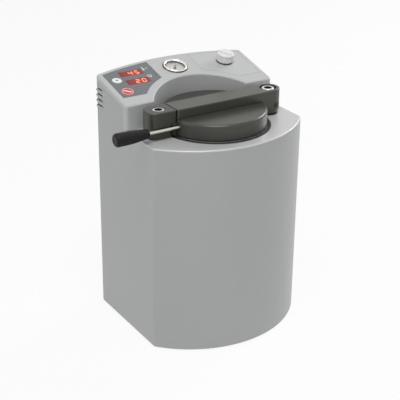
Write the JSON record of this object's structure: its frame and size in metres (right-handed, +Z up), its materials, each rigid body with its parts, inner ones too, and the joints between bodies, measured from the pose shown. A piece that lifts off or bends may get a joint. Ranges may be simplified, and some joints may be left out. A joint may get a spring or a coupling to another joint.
{
  "type": "benchtop autoclave",
  "caption": "Upright benchtop pressure curing autoclave: round lid under a swinging arm with a lever, deep chamber, sloped console with displays, keys, gauge and regulator knob.",
  "frame": {"origin": "middle of the whole outline at bench level, under the feet", "axes": "+Z up, -Y towards the user at the bowed front, +X to the user's right, the pivot's side"},
  "size_m": [0.31, 0.2683, 0.4035],
  "materials": {
    "silver_paint": "smooth satin silver-grey powder coat",
    "deck_paint": "smooth satin light grey paint",
    "console_grey": "fine satin light grey moulding",
    "fascia_grey": "light grey printed label film",
    "membrane_grey": "printed mid grey keypad film",
    "display_red": "dark red display window over lit digits",
    "key_white": "white key cap",
    "key_red": "red key cap",
    "hard_coat": "dark bronze-grey hard anodised",
    "bare_aluminium": "turned natural aluminium",
    "bright_steel": "machined stainless steel",
    "zinc_steel": "zinc plated sheet",
    "chrome": "polished",
    "black_plastic": "fine matt black",
    "black_rubber": "matt black rubber",
    "dial_white": "white printed dial",
    "gauge_glass": "clear",
    "brass": "nickel-free turned brass",
    "board_green": "green circuit board",
    "insulation": "grey-brown mineral fibre",
    "tube_blue": "blue polyurethane tube",
    "knob_white": "translucent milk white"
  },
  "bodies": {
    "unit": {"housing_shell": "silver_paint", "rear_panel": "silver_paint", "base_plate": "zinc_steel", "foot_front_left": "black_rubber", "foot_front_right": "black_rubber", "foot_rear_left": "black_rubber", "foot_rear_right": "black_rubber", "deck_plate": "deck_paint", "console_cover": "console_grey", "control_membrane": "membrane_grey", "right_fascia": "fascia_grey", "display_board": "board_green", "upper_display": "display_red", "lower_display": "display_red", "gauge_case": "black_plastic", "gauge_bezel": "chrome", "gauge_dial": "dial_white", "gauge_glass": "gauge_glass", "regulator_body": "bare_aluminium", "knob_ring": "black_plastic", "pressure_vessel": "bare_aluminium", "lid_seal": "black_rubber", "opening_trim": "black_rubber", "yoke_plate": "bright_steel", "heater_band": "bright_steel", "insulation_jacket": "insulation", "vessel_stand": "zinc_steel", "temperature_sensor": "bright_steel", "catch_block": "hard_coat", "catch_bolt": "bright_steel", "catch_nut": "bright_steel", "pivot_bolt": "bright_steel", "pivot_nut": "bright_steel", "pivot_washer": "black_plastic", "rear_screw_lower_left": "bright_steel", "rear_screw_upper_left": "bright_steel", "rear_screw_lower_right": "bright_steel", "rear_screw_upper_right": "bright_steel", "mains_inlet": "black_plastic", "switch_frame": "black_plastic", "air_inlet_nipple": "brass", "exhaust_silencer": "brass", "inlet_valve": "brass", "exhaust_valve": "brass", "safety_valve": "brass", "transformer": "zinc_steel", "control_board": "board_green", "supply_tube": "tube_blue"},
    "lid_assembly": {"lid_arm": "hard_coat", "chamber_lid": "hard_coat", "lid_screw_left": "bright_steel", "lid_screw_right": "bright_steel", "lever_rod": "bright_steel", "lever_grip": "black_plastic", "pivot_bush": "brass"},
    "start_key": {"start_button": "key_white"},
    "stop_key": {"stop_button": "key_red"},
    "needle": {"gauge_needle": "black_plastic"},
    "knob": {"regulator_knob": "knob_white"},
    "rocker": {"power_switch": "black_plastic"}
  },
  "joints": [
    {"name": "arm_swing", "type": "hinge", "parent": "unit", "child": "lid_assembly", "pos_m": [0.1213, -0.03239, 0.35], "axis": [0, 0, 1], "range_deg": [0, 110]},
    {"name": "start_button_press", "type": "slide", "parent": "unit", "child": "start_key", "axis": [0, 0.2362, -0.9717], "range_m": [0, 0.0008], "stiffness_N_per_m": 300, "springref_m": -0.0006},
    {"name": "stop_button_press", "type": "slide", "parent": "unit", "child": "stop_key", "axis": [0, 0.2362, -0.9717], "range_m": [0, 0.0008], "stiffness_N_per_m": 300, "springref_m": -0.0006},
    {"name": "gauge_needle_turn", "type": "hinge", "parent": "unit", "child": "needle", "pos_m": [0.025, 0.0822, 0.38453], "axis": [0, -0.2362, 0.9717], "range_deg": [-100, 170]},
    {"name": "regulator_knob_turn", "type": "hinge", "parent": "unit", "child": "knob", "pos_m": [0.11, 0.06972, 0.39231], "axis": [0, -0.2362, 0.9717], "range_deg": [-150, 150]},
    {"name": "power_switch_rock", "type": "hinge", "parent": "unit", "child": "rocker", "pos_m": [-0.02, 0.11313, 0.046], "axis": [-0.9958, -0.092, 0], "range_deg": [-20, 0]}
  ]
}
